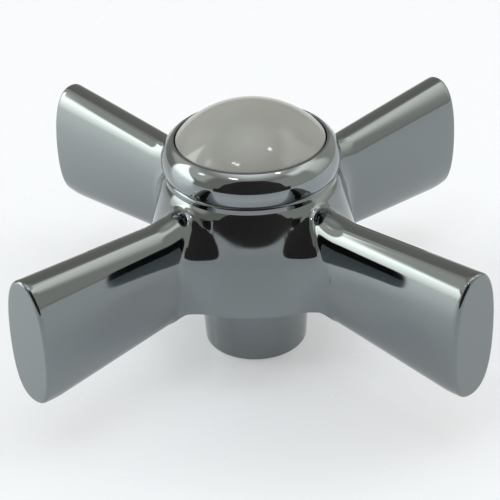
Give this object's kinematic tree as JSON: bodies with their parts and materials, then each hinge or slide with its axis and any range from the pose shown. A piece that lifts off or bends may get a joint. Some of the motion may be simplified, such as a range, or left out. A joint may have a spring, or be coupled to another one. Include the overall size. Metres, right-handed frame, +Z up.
{
  "type": "cross tap handle",
  "caption": "Chrome cross handle for a tap: flared oval arms around a hub with a domed button cap, on a socketed boss that fits a serrated valve stem.",
  "frame": {"origin": "centre of the boss foot, on the valve stem's axis", "axes": "+Z up along the valve stem, arms along +X, +Y, -X and -Y"},
  "size_m": [0.0732, 0.0732, 0.0338],
  "materials": {
    "chrome_plate": "polished",
    "chrome_ring": "polished",
    "button_glaze": "gloss",
    "screw_brass": "machined"
  },
  "bodies": {
    "root": {"handle_body": "chrome_plate", "cap_ring": "chrome_ring", "index_button": "button_glaze", "handle_screw": "screw_brass"}
  },
  "joints": []
}
